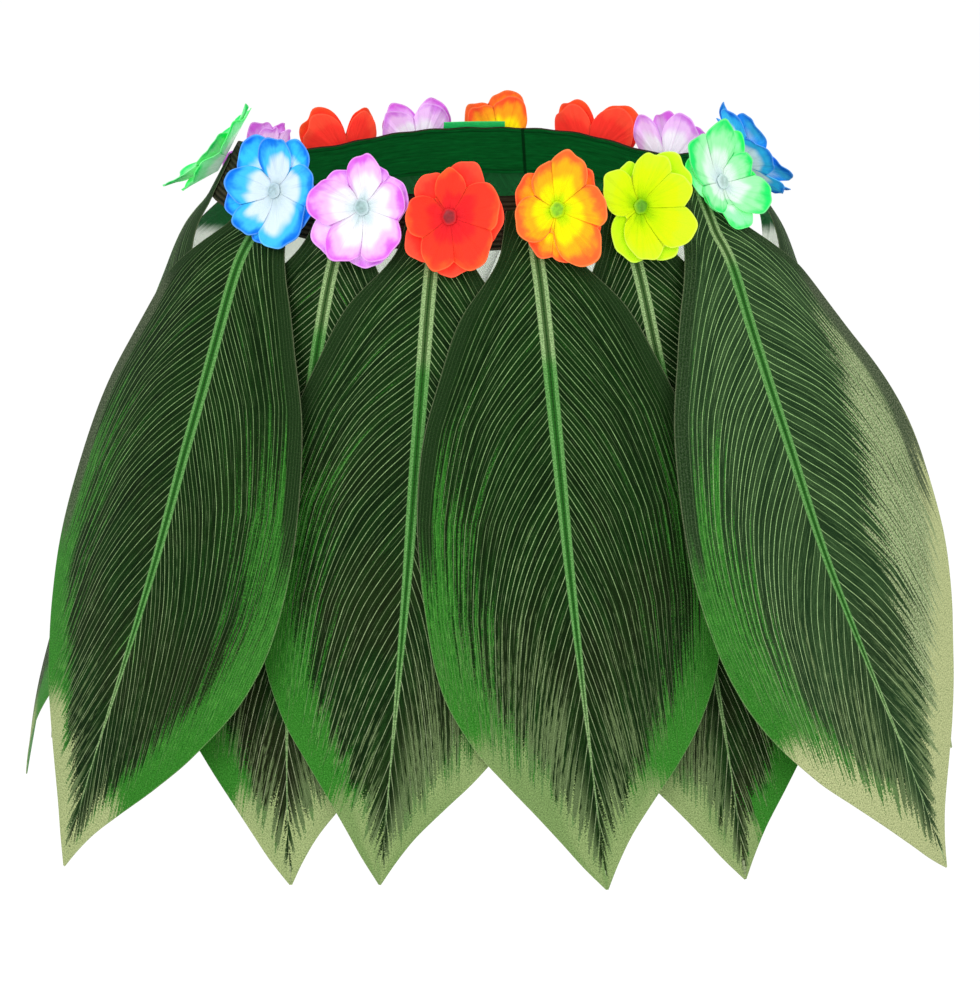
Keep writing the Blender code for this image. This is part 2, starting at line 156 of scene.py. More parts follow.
class Shade:
    """A socket of a material, so that shader maths is written as an expression."""

    def __init__(self, tree, socket=None):
        self.tree = tree
        self.socket = socket

    def node(self, kind, settings, inputs, output=0):
        """Adds a node, with its settings set before its sockets' values and links."""
        added = self.tree.nodes.new(kind)
        for name, value in settings.items():
            setattr(added, name, value)
        for name, value in inputs.items():
            if isinstance(value, Shade):
                self.tree.links.new(value.socket, added.inputs[name])
            else:
                added.inputs[name].default_value = value
        return Shade(self.tree, added.outputs[output])

    def maths(self, operation, *values):
        return self.node("ShaderNodeMath", {"operation": operation}, dict(enumerate(values)))

    def __add__(self, other):
        return self.maths("ADD", self, other)

    __radd__ = __add__

    def __sub__(self, other):
        return self.maths("SUBTRACT", self, other)

    def __rsub__(self, other):
        return self.maths("SUBTRACT", other, self)

    def __mul__(self, other):
        return self.maths("MULTIPLY", self, other)

    __rmul__ = __mul__

    def __truediv__(self, other):
        return self.maths("DIVIDE", self, other)

    def __rtruediv__(self, other):
        return self.maths("DIVIDE", other, self)

    def __pow__(self, other):
        return self.maths("POWER", self, other)

    def __abs__(self):
        return self.maths("ABSOLUTE", self)

    def most(self, other):
        return self.maths("MAXIMUM", self, other)

    def whole(self):
        return self.maths("FLOOR", self)

    def sine(self):
        return self.maths("SINE", self)

    def fold(self, width):
        """Runs to and fro between 0 and a width."""
        return self.maths("PINGPONG", self, width)

    def step(self, low, high):
        """Rises smoothly from 0 at low to 1 at high, or falls where low is the larger."""
        return self.node(
            "ShaderNodeMapRange",
            {"interpolation_type": "SMOOTHSTEP"},
            {"Value": self, "From Min": low, "From Max": high},
        )

    def chance(self, number):
        """A random value from 0 to 1 for each whole number."""
        return self.node("ShaderNodeTexWhiteNoise", {"noise_dimensions": "1D"}, {"W": number})

    def noise(self, x, y, seed, detail=2.0):
        """Noise from 0 to 1 with features about one unit of x and y in size."""
        place = self.node("ShaderNodeCombineXYZ", {}, {"X": x, "Y": y, "Z": seed})
        return self.node("ShaderNodeTexNoise", {}, {"Vector": place, "Scale": 1.0, "Detail": detail})

    def mix(self, amount, first, second):
        """A colour between two others. A mix node has its colours on sockets 6 and 7, and gives 2."""
        return self.node("ShaderNodeMix", {"data_type": "RGBA"}, {0: amount, 6: first, 7: second}, 2)

    def attribute(self, name, kind):
        """A value stored on the mesh, as a Vector or a Fac."""
        return self.node("ShaderNodeAttribute", {"attribute_name": name}, {}, kind)


def colour(red, green, blue):
    """A linear colour from its 0 to 255 screen values."""
    screen = np.array((red, green, blue)) / 255
    linear = np.where(screen < 0.04045, screen / 12.92, ((screen + 0.055) / 1.055) ** 2.4)
    return (*linear, 1.0)


def new_material(name, roughness, specular):
    """A finish whose fixed values are on the shader's own sockets."""
    material = bpy.data.materials.new(name)
    material.use_nodes = True
    shader = material.node_tree.nodes["Principled BSDF"]
    shader.inputs["Roughness"].default_value = roughness
    shader.inputs["Specular IOR Level"].default_value = specular
    return material, Shade(material.node_tree), shader.inputs


def finish_material(shade, sockets, base, height, depth):
    """Links the colour, and a bump of a depth in metres."""
    shade.tree.links.new(base.socket, sockets["Base Color"])
    bump = shade.node("ShaderNodeBump", {}, {"Height": height, "Distance": depth, "Strength": 1.0})
    shade.tree.links.new(bump.socket, sockets["Normal"])


def parts_of(vector):
    """The three numbers of a vector socket."""
    split = vector.node("ShaderNodeSeparateXYZ", {}, {"Vector": vector})
    return [Shade(vector.tree, split.socket.node.outputs[axis]) for axis in "XYZ"]


def uv_of(shade):
    """The two directions of a piece's own UV map."""
    return parts_of(shade.node("ShaderNodeUVMap", {"uv_map": "UVMap"}, {}))[:2]


bearings = np.linspace(0.0, tau, BAND_COLUMNS + 1)
band_places = []
for row in range(BAND_ROWS + 1):
    height = 2.0 * row / BAND_ROWS - 1.0
    pucker = PUCKER * abs(height) ** 4 * np.sin(PUCKERS * bearings + 1.5 * height)
    drops = np.full(BAND_COLUMNS + 1, -BAND_HALF_HEIGHT * height)
    band_places.append(off_bell(bearings, drops, pucker * 0.5) + np.outer(pucker, (0, 0, 1)))
waistband = make_sheet("waistband_cloth", BAND_COLUMNS, BAND_ROWS)
for face in ("ribbed", "satin"):
    material, shade, sockets = new_material("waistband_" + face, 0.6, specular=0.02)
    turn, up = uv_of(shade)
    ribs = (up * (tau * BAND_RIBS)).sine()
    threads = shade.noise(turn * 90, up * 26, 3.0, 4.0)
    streaks = shade.noise(turn * 26, up * 14, 7.0)
    seam = abs(turn - BAND_SEAM_BEARING / 360).step(0.0016, 0.0008)
    welt = abs(up - 0.5).step(0.40, 0.43) * abs(up - 0.5).step(0.455, 0.43)
    if face == "ribbed":
        dark, light = colour(30, 28, 18), colour(70, 66, 50)
        cloth = shade.mix(ribs * 0.35 + threads * 0.4 + 0.1, dark, light)
        relief = ribs * 0.5 + threads
    else:
        dark, light = colour(0, 50, 14), colour(8, 100, 40)
        cloth = shade.mix(threads * 0.9 + streaks * 0.6 - 0.25, dark, light)
        relief = ribs * 0.12 + threads
    lines = (seam * 0.75).most(welt * 0.45)
    finished = shade.mix(lines, cloth, colour(0, 22, 8))
    finish_material(shade, sockets, finished, relief - lines * 3, 0.0003)
    waistband.data.materials.append(material)

lay_sheet(waistband, band_places, BAND_WALL, outward=-1.0, closed=True)
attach(waistband, "root")
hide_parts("waistband")


# ---- Joining tape ----
# A short piece of emerald satin tape, stitched over the band's join at the back. It stands a
# little above the band's top edge.

# The gap between two pieces that are sewn together, and the space kept for each thickness of cloth.
SEAM_GAP = 0.0003
CLOTH = 0.0010
TAPE_BEARING = 183.5
TAPE_WIDTH = 0.034
TAPE_HEIGHT = 0.010
TAPE_PROUD = 0.0030
TAPE_WALL = 0.0006
TAPE_COLUMNS = 24
TAPE_ROWS = 6

tape_top = -BAND_HALF_HEIGHT - TAPE_PROUD
around, fall = bell_slopes(radians(TAPE_BEARING), tape_top)
half_turn = TAPE_WIDTH / 2 / np.linalg.norm(around)
tape_places = []
for row in range(TAPE_ROWS + 1):
    turns = radians(TAPE_BEARING) + half_turn * np.linspace(-1.0, 1.0, TAPE_COLUMNS + 1)
    drops = np.full(TAPE_COLUMNS + 1, tape_top + TAPE_HEIGHT * (1 - row / TAPE_ROWS))
    tape_places.append(off_bell(turns, drops, SEAM_GAP + CLOTH / 2))
tape = make_sheet("joining_tape_cloth", TAPE_COLUMNS, TAPE_ROWS)
lay_sheet(tape, tape_places, TAPE_WALL)

material, shade, sockets = new_material("tape_emerald_satin", 0.35, specular=0.2)
turn, up = uv_of(shade)
threads = shade.noise(turn * 14, up * 30, 2.0, 3.0)
hem = abs(up - 0.5).step(0.40, 0.46)
finished = shade.mix(threads * 0.6 + hem * 0.3, colour(14, 196, 92), colour(60, 214, 120))
finish_material(shade, sockets, finished, threads, 0.0001)
tape.data.materials.append(material)

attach(tape, "root")
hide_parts("joining_tape")


# ---- Leaves ----
# Fourteen leaves cut from polyester cloth, printed on the outer face with a dark green leaf, fine
# pale veins and a pale tip. Each is stitched by its narrow top to the band's outer face, and the
# leaves lap over each other in four layers as they hang.

# How far apart the layers lie, at drops below the waistband's middle.
Spacing = namedtuple("Spacing", "drop gap")
LAYER_SPACING = (
    Spacing(0.0100, 0.0),
    Spacing(0.0150, 0.0),
    Spacing(0.0190, 0.0003),
    Spacing(0.0245, 0.0010),
    Spacing(0.032, 0.0017),
    Spacing(0.045, 0.0023),
    Spacing(0.060, 0.0027),
    Spacing(0.120, 0.0037),
    Spacing(0.200, 0.0047),
    Spacing(0.400, 0.0060),
)

# The pattern that every leaf is cut from: its half widths at places down from the band.
Cut = namedtuple("Cut", "down left right")
LEAF_CUT = (
    Cut(-0.020, 0.0140, 0.0140),
    Cut(0.000, 0.0185, 0.0185),
    Cut(0.012, 0.0250, 0.0250),
    Cut(0.035, 0.0430, 0.0430),
    Cut(0.065, 0.0565, 0.0565),
    Cut(0.100, 0.0690, 0.0690),
    Cut(0.140, 0.0755, 0.0755),
    Cut(0.185, 0.0760, 0.0760),
    Cut(0.225, 0.0720, 0.0720),
    Cut(0.255, 0.0590, 0.0590),
    Cut(0.275, 0.0445, 0.0450),
    Cut(0.292, 0.0315, 0.0300),
    Cut(0.308, 0.0200, 0.0165),
    Cut(0.322, 0.0105, 0.0075),
    Cut(0.335, 0.0006, 0.0006),
)
LEAF_TOP = LEAF_CUT[0].down
LEAF_LENGTH = LEAF_CUT[-1].down
LEAF_WIDEST = 0.0760
EDGE_CURL = 0.03
CURL_START = 0.020
CURL_FULL = 0.140
SKEW_END = 0.22
SKEW_START = 0.03
SLIM_START = 0.20
SLIM_FULL = 0.28
EASE_ROUNDING = 0.14
LEAF_WALL = 0.0004
LEAF_COLUMNS = 48
LEAF_ROWS = 104
WAVE_HEIGHT = 0.0004
WAVE_LENGTH = 0.085

# Where each leaf hangs, in degrees, how much its midrib leans to the right there, and how much more
# at the tip. Then its layer, counted out from the band, its size, how far its edges spread off the
# bell in metres, and how much its top is skewed to the right and its lower part slimmed.
Leaf = namedtuple("Leaf", "bearing lean bend layer size spread skew slim", defaults=(0, 0, 0))
LEAVES = (
    Leaf(-62.0, 10, -22, 3, 1.06, 0.008, -0.27, 0.17),
    Leaf(-39.5, -2, 6, 0, 1.00),
    Leaf(-14.0, -2, -3, 1, 0.98),
    Leaf(14.0, 3, 4, 2, 0.985),
    Leaf(39.5, 3, 3, 0, 1.005),
    Leaf(62.0, -10, 29, 3, 1.10, 0.016, 0.29, 0.17),
    Leaf(92.0, 2, 0, 1, 1.00),
    Leaf(126.0, -3, 3, 2, 1.00),
    Leaf(150.0, -1, 2, 0, 1.00),
    Leaf(177.0, 1, -2, 1, 1.00),
    Leaf(204.0, 0, 3, 2, 1.00),
    Leaf(227.0, -1, 1, 0, 1.00),
    Leaf(249.0, 1, -3, 1, 1.00),
    Leaf(270.0, 0, 2, 2, 1.02),
)

# How each leaf is printed, in millimetres down from the band. dark is where the dark middle ends at
# the left and right edge, with its lower limit bowed by a power, and pale is where the pale tip
# starts there. lit is how much of each side's outer part is streaked with bright green, and sand how
# much of the right side with pale. rib_pale is how far down the midrib is pale. grey and brown shift
# the greens. steep is how steeply each side's veins run down, and ripe how yellow the pale tip is.
# dust is how grey and speckled the outer edge is: the right one where there is sand, or else the
# left. washed is how much of the dark middle is washed out in streaks near the tip.
Print = namedtuple(
    "Print",
    "dark_left dark_right bow pale_left pale_right lit_left lit_right sand rib_pale grey brown"
    " steep_left steep_right ripe dust washed",
)
PRINTS = (
    Print(195, 226, 2.1, 266, 296, 0.95, 1.00, 0.0, -30, 0.02, 0.20, 0.75, 1.28, 0.75, 1.0, 0.00),
    Print(222, 222, 1.6, 296, 262, 0.80, 0.60, 0.0, 45, 0.10, 0.90, 0.90, 1.00, 0.50, 0.0, 0.55),
    Print(222, 224, 1.6, 296, 240, 1.00, 0.80, 0.0, 62, 0.10, 0.40, 0.78, 1.05, 0.12, 0.0, 0.40),
    Print(224, 220, 1.5, 252, 286, 1.00, 0.70, 0.0, 58, 0.04, 0.20, 0.90, 1.25, 0.12, 0.0, 0.45),
    Print(225, 222, 1.6, 245, 318, 0.70, 0.70, 0.0, 60, 0.10, 0.90, 1.00, 0.95, 0.25, 0.0, 0.45),
    Print(200, 150, 1.8, 239, 60, 1.15, 0.10, 1.0, 20, 0.95, 0.05, 0.75, 0.60, 1.00, 0.9, 0.15),
    Print(200, 220, 1.7, 262, 288, 0.80, 0.70, 0.0, 40, 0.30, 0.30, 0.80, 1.00, 0.40, 0.0, 0.30),
    Print(205, 222, 1.6, 284, 260, 0.90, 0.70, 0.0, 20, 0.10, 0.40, 0.90, 0.90, 0.30, 0.0, 0.30),
    Print(215, 215, 1.5, 290, 250, 0.80, 0.90, 0.0, 55, 0.20, 0.60, 0.85, 1.10, 0.50, 0.0, 0.40),
    Print(196, 226, 1.7, 262, 280, 1.00, 0.80, 0.0, 45, 0.05, 0.20, 1.00, 0.90, 0.25, 0.0, 0.20),
    Print(214, 205, 1.5, 296, 268, 0.80, 0.95, 0.0, 60, 0.25, 0.15, 0.90, 1.00, 0.60, 0.0, 0.40),
    Print(220, 226, 1.6, 255, 290, 0.70, 0.80, 0.0, 30, 0.10, 0.70, 1.00, 0.85, 0.40, 0.0, 0.30),
    Print(205, 215, 1.8, 270, 262, 0.90, 0.80, 0.0, 50, 0.15, 0.30, 0.90, 0.90, 0.30, 0.0, 0.35),
    Print(178, 200, 1.6, 400, 300, 0.90, 0.80, 0.0, 35, 0.10, 0.20, 1.00, 1.00, 0.30, 0.0, 0.20),
)

# A vein's slope where it leaves the midrib, at drops in millimetres. It steepens towards the edge. The
# veins start further apart down the leaf, so VEIN_COUNTS gives starts as if they were evenly spaced.
VEIN_SLOPES = ((0, 1.05), (90, 1.10), (140, 1.45), (190, 2.10), (240, 3.10), (320, 4.60))
VEIN_COUNTS = ((-400, -400), (100, 100), (140, 134), (180, 158), (220, 176), (320, 208))
VEIN_BEND = 1.1
VEIN_BEND_POWER = 3
VEIN_ROOT = 2.5
VEIN_SPACING = 4.1
SIDE_SHIFT = 2.1
DARK_TIP = 326.0
STREAK_TAPER = 24.0
PALE_RISE = 26.0
WASH_START = 225.0
WASH_LENGTH = 70.0
RIB_HALF_WIDTH = 3.6
RIB_LENGTH = 285.0
RIB_POWER = 2.2
RIB_LEAST = 0.3
CUT_EDGE = 0.55


def walk(bearing, drop, across, down):
    """Moves over the bell by true lengths, across and down, and gives the new bearings and drops."""
    around, fall = bell_slopes(bearing, drop)
    slant = np.sum(around * fall, axis=-1) / np.sum(around * around, axis=-1)
    fallen = down / np.linalg.norm(fall - around * slant[:, None], axis=-1)
    return bearing + across / np.linalg.norm(around, axis=-1) - fallen * slant, drop + fallen


def ease(value, low, high):
    """Rises evenly from 0 at low to 1 at high, with both corners rounded."""
    along = (value - low) / (high - low)
    return (np.hypot(along, EASE_ROUNDING) - np.hypot(along - 1, EASE_ROUNDING) + 1) / 2


def leaf_half_widths(leaf, downs):
    """Half widths left and right of the midrib, for each row."""
    left, right = read_table(LEAF_CUT, downs)
    size = np.where(downs > 0, leaf.size, 1.0) * (1 - leaf.slim * ease(downs, SLIM_START, SLIM_FULL))
    skew = leaf.skew * (1 - ease(downs, 0.0, SKEW_END)) * ease(downs, 0.0, SKEW_START)
    return left * size * (1 - skew), right * size * (1 + skew)


def leaf_midrib(leaf, downs):
    """Bearings, drops and tilts of the midrib as it runs down over the bell."""
    bearing, drop = np.array([radians(leaf.bearing)]), np.array([BAND_HALF_HEIGHT])
    stations = []
    last = 0.0
    for down in downs:
        if down > 0:
            tilt = radians(leaf.lean + leaf.bend * (last + down) / 2 / LEAF_LENGTH)
            length = (down - last) * leaf.size
            bearing, drop = walk(bearing, drop, length * sin(tilt), length * cos(tilt))
            last = down
        tilt = radians(leaf.lean + leaf.bend * last / LEAF_LENGTH)
        stations.append((bearing[0], drop[0] + min(down, 0.0), tilt))
    return np.array(stations).T


def vein_starts(downs, across, half, steepness):
    """Where on the midrib the vein through each point starts, and how closely the veins crowd there."""
    slope = np.interp(downs, *zip(*VEIN_SLOPES))[:, None] * steepness
    bend = across / np.maximum.accumulate(half, axis=0)
    root = VEIN_ROOT * (1 - np.exp(-across / VEIN_ROOT))
    starts = downs[:, None] - across * (slope + VEIN_BEND * bend**VEIN_BEND_POWER) - root
    sideways = slope + VEIN_BEND * (VEIN_BEND_POWER + 1) * bend**VEIN_BEND_POWER + 1 - root / VEIN_ROOT
    slant = np.gradient(across, downs, axis=0)
    along = np.gradient(starts, downs, axis=0) + sideways * slant
    counted = np.interp(starts, *zip(*VEIN_COUNTS))
    rate = np.interp(starts + 1, *zip(*VEIN_COUNTS)) - counted
    return counted, np.hypot(sideways, along) * rate


def leaf_places(leaf, look, number):
    """Places of a leaf's grid points, row by row from its tip, and what its print reads there."""
    downs = np.linspace(LEAF_TOP, LEAF_LENGTH, LEAF_ROWS + 1)
    rib_bearing, rib_drop, tilt = leaf_midrib(leaf, downs)
    half = LEAF_COLUMNS // 2
    places = np.zeros((LEAF_ROWS + 1, LEAF_COLUMNS + 1, 3))
    acrosses = np.zeros((LEAF_ROWS + 1, LEAF_COLUMNS + 1))
    widths = np.zeros((LEAF_ROWS + 1, LEAF_COLUMNS + 1))
    for side, full in zip((-1, 1), leaf_half_widths(leaf, downs)):
        bearing, drop = rib_bearing, rib_drop
        step = side * full / half
        for column in range(half + 1):
            across = abs(step * column)
            share = column / half
            spread = ease(downs, CURL_START, CURL_FULL)
            lift = leaf.spread * (across / LEAF_WIDEST) ** 2 - EDGE_CURL * across
            wave = np.sin(tau * downs / WAVE_LENGTH + 1.9 * number + 1.3 * side)
            gap = leaf.layer * read_table(LAYER_SPACING, drop)[0]
            out = SEAM_GAP + gap + spread * (lift + WAVE_HEIGHT * wave * share**2)
            places[:, half + side * column] = off_bell(bearing, drop, out + CLOTH / 2)
            widths[:, half + side * column] = full * 1000
            acrosses[:, half + side * column] = across * 1000
            bearing, drop = walk(bearing, drop, step * np.cos(tilt), -step * np.sin(tilt))
    steepness = np.where(np.arange(LEAF_COLUMNS + 1) < half, look.steep_left, look.steep_right)
    starts, crowding = vein_starts(downs * 1000, acrosses, widths, steepness)
    return places[::-1], np.stack((starts, crowding, widths), axis=-1)[::-1]


# What the print reads at a point, in millimetres across from the midrib, inset from the edge and down
# from the band. side runs from -1 to 1 over the leaf, share from 0 to 1 out from the midrib, and right
# is 1 on the right half. start is where the vein through the point starts, off_vein how far that is
# from a vein's middle, strip the number of the strip between two veins, and crowding how closely the
# veins lie there.
Spot = namedtuple("Spot", "side share right across inset down start off_vein strip crowding")

# Patterns from 0 to 1 that run along the veins or over the cloth.
Patterns = namedtuple("Patterns", "broad streak grain cloud dashes")

# How much of each part of the print there is at a point.
Zones = namedtuple("Zones", "dark pale washed hem lit sand dust")


def leaf_spot(shade, seed):
    """Where a point is on a leaf's print."""
    u, v = uv_of(shade)
    side = u * 2 - 1
    share = abs(side)
    right = side.step(-0.01, 0.01)
    down = LEAF_LENGTH * 1000 - v * (LEAF_LENGTH - LEAF_TOP) * 1000
    start, crowding, half = parts_of(shade.attribute("print_place", "Vector"))
    start = start + right * SIDE_SHIFT + shade.noise(start * 0.05, right * 9, seed) * 4
    return Spot(
        side=side,
        share=share,
        right=right,
        across=share * half,
        inset=(1 - share) * half,
        down=down,
        start=start,
        off_vein=start.fold(VEIN_SPACING / 2),
        strip=start / VEIN_SPACING + right * 300,
        crowding=crowding,
    )


def leaf_patterns(shade, spot, seed):
    """The print's patterns. Those along the veins are stretched downwards."""
    return Patterns(
        broad=shade.noise(spot.start * 0.16, spot.down * 0.012, seed + 4),
        streak=shade.noise(spot.start * 0.70, spot.down * 0.022, seed + 6),
        grain=shade.noise(spot.across * 1.1, spot.down * 1.1, seed + 8, 1.0),
        cloud=shade.noise(spot.side * 1.6, spot.down * 0.02, seed + 10),
        dashes=shade.noise(spot.start * 1.3, spot.down * 0.16, seed + 12, 1.0),
    )


def leaf_veins(shade, spot, seed):
    """Fine pale veins, each with its own strength, and hairs between them. Where they crowd, every
    second vein fades."""
    number = (spot.strip + 0.5).whole()
    odd = number.fold(1.0)
    strong = shade.chance(number + seed).step(0.05, 0.60) * 0.40 + 0.50
    flicker = shade.noise(spot.start * 0.9, spot.down * 0.12, seed + 2)
    veins = (spot.off_vein / spot.crowding).step(0.26, 0.05) * strong * (flicker * 1.2 + 0.14)
    veins = veins * (1 - spot.down.step(150, 290) * 0.25)
    veins = veins * (1 - odd * spot.crowding.step(1.6, 2.3))
    off_hair = spot.start.fold(VEIN_SPACING / 4)
    hairs = (off_hair / spot.crowding).step(0.20, 0.05) * flicker.step(0.50, 0.75) * 0.16
    return veins.most(hairs) * (spot.crowding.step(4.6, 1.9) * 0.70 + 0.30)


def leaf_zones(shade, spot, patterns, look, seed):
    """Where the print is dark, pale and so on. The zones end in streaks that follow the veins."""
    share, right, down = spot.share, spot.right, spot.down
    broad, streak, grain = (pattern - 0.5 for pattern in patterns[:3])
    strip_luck = shade.chance(spot.strip.whole() + seed + 0.5) - 0.5

    dark_end = look.dark_left + right * (look.dark_right - look.dark_left)
    dark_limit = DARK_TIP - (DARK_TIP - dark_end) * share**look.bow
    dark_limit = dark_limit + strip_luck * 36 + streak * 110 + broad * 50
    middle_of_strip = spot.off_vein * (2 / VEIN_SPACING) - 0.55
    dark = (dark_limit - down) / STREAK_TAPER + middle_of_strip + grain * 3.2
    near_end = (down - dark_limit).step(-75, 5)

    pale_start = look.pale_left + right * (look.pale_right - look.pale_left)
    pale_limit = pale_start - PALE_RISE * (1 - share)
    pale = (down - pale_limit) / 6 + streak * 5 + grain * 3
    washed = (down - pale_limit.most(WASH_START)) / WASH_LENGTH + look.washed
    washed = washed + streak * 6.0 + (patterns.dashes - 0.5) * 3.0
    hem = spot.inset.step(9.0, 6.0) * down.step(185, 115)

    uneven = streak * 2.6 + grain
    lit_most = look.lit_left + right * (look.lit_right - look.lit_left)
    lit = share.step(0.25, 0.92) * down.step(30, 165) * (1 - hem) * lit_most * 1.08
    lit = lit + near_end * share.step(0.10, 0.50) * 0.70
    lit = (lit - 0.66 + uneven + broad * 2.2).step(0.0, 0.50)

    sand_start = (0.82 - down * 0.0029).most(0.36)
    sandy = (share - sand_start).step(-0.08, 0.26) * down.step(20, 100) * right * look.sand
    sand = (sandy * 1.25 - 0.45 + uneven * 1.5 + broad * 0.8).step(0.0, 0.60)
    sand = sand * sandy.step(0.0, 0.15) * (1 - patterns.streak.step(0.50, 0.36) * 0.6)

    dusty_side = right if look.sand else 1 - right
    dust = spot.inset.step(17.0, 5.0) * down.step(20, 60) * down.step(225, 150)
    dust = (dust * dusty_side * look.dust * 1.3 - 0.3 + streak * 1.2).step(0.0, 0.5)
    return Zones(
        dark=dark.step(-0.25, 0.25),
        pale=pale.step(-0.8, 0.8),
        washed=washed.step(0.35, 1.1) * share.step(0.03, 0.25),
        hem=hem,
        lit=lit,
        sand=sand * (1 - dust * 0.7),
        dust=dust,
    )


def leaf_middle(shade, spot, patterns, zones, veins, look):
    """The dark middle of the print, with its veins, and what lightens it towards the edges."""
    grain, dashes, grey = patterns.grain, patterns.dashes, look.grey
    deep = colour(9 + 18 * grey, 30 + 22 * grey, 5 + 20 * grey)
    soft = colour(22 + 34 * grey, 56 + 28 * grey, 15 + 32 * grey)
    uneven = (patterns.broad - 0.5) * 2.2 + (dashes - 0.5) * 1.6
    ink = shade.mix(uneven + 0.30, deep, soft)
    soot = patterns.cloud.step(0.40, 0.62) * spot.down.step(60, 200) * (0.25 + 0.60 * look.brown)
    ink = shade.mix(soot * 0.75, ink, colour(28, 28, 12))
    bright = shade.mix(dashes.step(0.40, 0.70), colour(30, 98, 24), colour(74, 150, 52))
    ink = shade.mix(zones.lit * 0.88, ink, bright)
    worn = grain.step(0.40, 0.68) * (0.05 + grey * 0.3)
    plain = shade.mix(worn, colour(24, 48, 18), colour(84, 100, 74))
    ink = shade.mix(zones.hem * 0.85, ink, plain)
    beige = shade.mix(grain.step(0.36, 0.62), colour(100, 118, 76), colour(172, 184, 138))
    ink = shade.mix(zones.sand * 0.92, ink, beige)
    dry = spot.down.step(120, 260) * 0.4 + look.brown * 0.5
    line = shade.mix(dry, colour(146, 186, 118), colour(186, 194, 156))
    shown = veins * (1 - zones.hem * 0.7) * (1 - zones.lit * 0.35) * (1 + grey * 0.7)
    ink = shade.mix(shown, ink, line)
    speckled = shade.mix(grain.step(0.38, 0.62), colour(42, 58, 34), colour(90, 100, 76))
    ink = shade.mix(zones.dust * 0.85, ink, speckled)
    return shade.mix(zones.washed * 0.72, ink, colour(102, 122, 78))


def leaf_ground(shade, patterns, zones, look):
    """The cloth round the dark middle: a bright green margin and a pale tip."""
    grain, cloud = patterns.grain, patterns.cloud
    mottled = grain.step(0.3, 0.8) * 0.5 + cloud * 0.3
    margin = shade.mix(mottled, colour(34, 102, 22), colour(70, 140, 54))
    tip = shade.mix(cloud.step(0.35, 0.65), colour(126, 150, 92), colour(102, 134, 74))
    tip = shade.mix(look.ripe, tip, colour(172, 180, 128))
    tip = shade.mix(grain.step(0.50, 0.68) * 0.45, tip, colour(84, 108, 58))
    return shade.mix(zones.pale, margin, tip)


def leaf_rib(shade, spot, patterns, look):
    """The printed midrib: where it is, and its colour, with a darker core and a groove down it."""
    down = spot.down
    taper = (down.most(0.0) / RIB_LENGTH) ** RIB_POWER
    rib_half = (RIB_HALF_WIDTH - taper * RIB_HALF_WIDTH).most(RIB_LEAST)
    rib = spot.across.step(rib_half + 0.3, rib_half - 0.3) * down.step(308, 290)
    off_rib = spot.across / rib_half
    groove = off_rib.step(0.20, 0.05) * down.step(290, 240)
    core = off_rib.step(0.46, 0.34) * down.step(275, 215)
    whitened = down.step(look.rib_pale + 6, look.rib_pale - 6).most(down.step(200, 255) * 0.9)
    light = shade.mix(whitened, colour(98, 152, 82), colour(148, 176, 120))
    light = shade.mix(patterns.grain.step(0.42, 0.66) * 0.60, light, colour(58, 106, 42))
    ink = shade.mix(core, light, shade.mix(whitened, colour(40, 96, 32), colour(70, 96, 52)))
    return rib, shade.mix(groove * 0.85, ink, colour(28, 66, 20))


def print_leaf(name, look, seed):
    """The printed face of one leaf."""
    material, shade, sockets = new_material(name, 0.60, specular=0.03)
    spot = leaf_spot(shade, seed)
    patterns = leaf_patterns(shade, spot, seed)
    veins = leaf_veins(shade, spot, seed)
    zones = leaf_zones(shade, spot, patterns, look, seed)
    middle = leaf_middle(shade, spot, patterns, zones, veins, look)
    printed = shade.mix(zones.dark, leaf_ground(shade, patterns, zones, look), middle)
    rib, rib_ink = leaf_rib(shade, spot, patterns, look)
    printed = shade.mix(rib, printed, rib_ink)
    printed = shade.mix(spot.inset.step(CUT_EDGE, 0.25) * 0.25, printed, colour(150, 160, 122))
    weave = shade.noise(spot.across * 1.9, spot.down * 1.9, seed, 1.0)
    speckle = (weave - 0.5) * 2.0 + 0.98
    printed = shade.node("ShaderNodeHueSaturation", {}, {"Color": printed, "Value": speckle})
    finish_material(shade, sockets, printed, weave * 0.6 + veins * 0.5 + rib * 1.5, 0.0002)
    return material


def reverse_of_leaf():
    """The back of the cloth: satin green near the band, nearly white below, and green at its tip,
    where the print shows through."""
    material, shade, sockets = new_material("leaf_reverse", 0.50, specular=0.05)
    u, v = uv_of(shade)
    side = u * 2 - 1
    down = LEAF_LENGTH * 1000 - v * (LEAF_LENGTH - LEAF_TOP) * 1000
    slanting = shade.noise(down * 0.16 - abs(side) * 9, abs(side) * 2, 5.0, 3.0)
    threads = shade.noise(side * 60, down * 0.9, 3.0, 1.0)
    satin = shade.mix(slanting * 0.9 + threads * 0.3 - 0.1, colour(4, 56, 22), colour(24, 106, 52))
    white = shade.mix(slanting, colour(222, 228, 216), colour(246, 248, 244))
    shown_print = shade.mix(slanting, colour(58, 124, 50), colour(84, 150, 70))
    white = shade.mix((down + (slanting - 0.5) * 30).step(170, 230), white, shown_print)
    satin = shade.mix((down + (slanting - 0.5) * 8).step(22, 31), satin, white)
    finish_material(shade, sockets, satin, threads, 0.0001)
    return material


